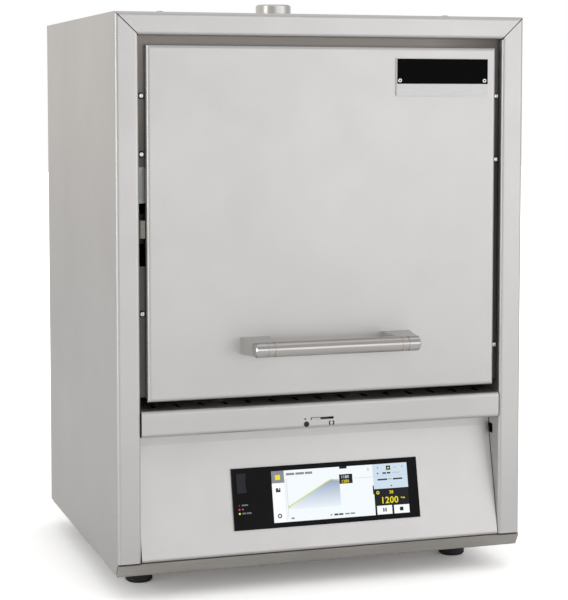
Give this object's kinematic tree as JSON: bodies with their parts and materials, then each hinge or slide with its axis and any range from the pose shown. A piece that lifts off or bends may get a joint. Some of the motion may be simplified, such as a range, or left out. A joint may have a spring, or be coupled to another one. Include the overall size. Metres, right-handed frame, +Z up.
{
  "type": "muffle furnace",
  "caption": "Small bench-top high-temperature muffle furnace with a parallel lift door, slanted control panel, insulated chamber with upright heating rods and a roof exhaust stub.",
  "frame": {"origin": "centre of the bounding box at the level of the feet's undersides", "axes": "+Z up, front with door and panel towards -Y, +X to the right when looking at the front"},
  "size_m": [0.34, 0.334, 0.471],
  "materials": {
    "textured_stainless": "fine embossed texture, satin",
    "plain_stainless": "satin",
    "zinc_sheet": "dull",
    "bright_steel": "turned",
    "handle_aluminium": "anodised, satin",
    "fibre_board": "dry fibre",
    "dense_ceramic": "fired, matt",
    "silicon_carbide": "fired, matt",
    "black_plastic": "fine grain",
    "white_plastic": "fine grain",
    "screen_glass": "polished",
    "lamp_plastic": "clear",
    "black_rubber": "moulded",
    "printed_plate": "printed, satin",
    "circuit_board": "solder mask",
    "clamp_aluminium": "milled"
  },
  "bodies": {
    "housing": {"base_tray": "textured_stainless", "feet": "black_rubber", "foot_screws": "bright_steel", "side_panel_right": "textured_stainless", "side_panel_left": "textured_stainless", "top_cover": "textured_stainless", "top_screws": "bright_steel", "rear_panel": "textured_stainless", "rear_cover": "textured_stainless", "pan_screws": "bright_steel", "middle_rail": "textured_stainless", "slider_guide": "zinc_sheet", "control_panel": "textured_stainless", "display_bezel": "black_plastic", "display_screen": "screen_glass", "display_board": "circuit_board", "status_lamps": "lamp_plastic", "face_plate": "plain_stainless", "door_switch": "white_plastic", "deck_plate": "zinc_sheet", "inner_shell": "zinc_sheet", "insulation_floor": "fibre_board", "insulation_roof": "fibre_board", "insulation_sides": "fibre_board", "insulation_rear": "fibre_board", "chamber_collar": "fibre_board", "hearth_plate": "dense_ceramic", "heater_rods": "silicon_carbide", "rod_clamps": "clamp_aluminium", "thermocouple": "dense_ceramic", "exhaust_tube": "dense_ceramic", "exhaust_stub": "bright_steel", "exhaust_nut": "bright_steel", "bearing_plates": "zinc_sheet", "shaft_bushes": "black_plastic", "arm_pins": "bright_steel", "friction_washers": "bright_steel", "inlet_frame": "black_plastic", "fan_frame": "black_plastic", "fan_guard": "bright_steel", "power_board": "circuit_board"},
    "front_linkage": {"front_arms": "plain_stainless", "lift_shaft": "bright_steel"},
    "rear_linkage": {"rear_arms": "plain_stainless"},
    "door": {"door_pan": "textured_stainless", "door_back_plate": "plain_stainless", "door_cassette": "plain_stainless", "door_insulation": "fibre_board", "door_brackets": "plain_stainless", "door_pins": "bright_steel", "handle_bar": "bright_steel", "handle_caps": "handle_aluminium", "handle_legs": "handle_aluminium", "nameplate": "printed_plate", "plate_rivets": "bright_steel"},
    "air_slider": {"air_slider": "black_plastic"},
    "usb_flap": {"usb_flap": "black_plastic"},
    "rocker": {"rocker": "black_plastic"},
    "fan_rotor": {"fan_rotor": "black_plastic"}
  },
  "joints": [
    {"name": "lift", "type": "hinge", "parent": "housing", "child": "front_linkage", "pos_m": [0, -0.108, 0.398], "axis": [-1, 0, 0], "range_deg": [0, 125]},
    {"name": "rear_lift", "type": "hinge", "parent": "housing", "child": "rear_linkage", "pos_m": [0, -0.078, 0.346], "axis": [-1, 0, 0], "range_deg": [0, 125]},
    {"name": "door_level", "type": "hinge", "parent": "front_linkage", "child": "door", "pos_m": [0, -0.108, 0.273], "axis": [-1, 0, 0], "range_deg": [-125, 0]},
    {"name": "air_slide", "type": "slide", "parent": "housing", "child": "air_slider", "axis": [1, 0, 0], "range_m": [0, 0.011]},
    {"name": "flap_hinge", "type": "hinge", "parent": "housing", "child": "usb_flap", "pos_m": [-0.071, -0.12193, 0.08601], "axis": [0, -0.2242, -0.9745], "range_deg": [0, 100]},
    {"name": "rocker_tilt", "type": "hinge", "parent": "housing", "child": "rocker", "pos_m": [0.0845, 0.1446, 0.062], "axis": [1, 0, 0], "range_deg": [0, 18]},
    {"name": "fan_spin", "type": "hinge", "parent": "housing", "child": "fan_rotor", "pos_m": [-0.095, 0.136, 0.088], "axis": [0, 1, 0], "continuous": true}
  ],
  "couplings": [
    {"joint": "rear_lift", "follows": "lift", "ratio": 1},
    {"joint": "door_level", "follows": "lift", "ratio": -1}
  ]
}
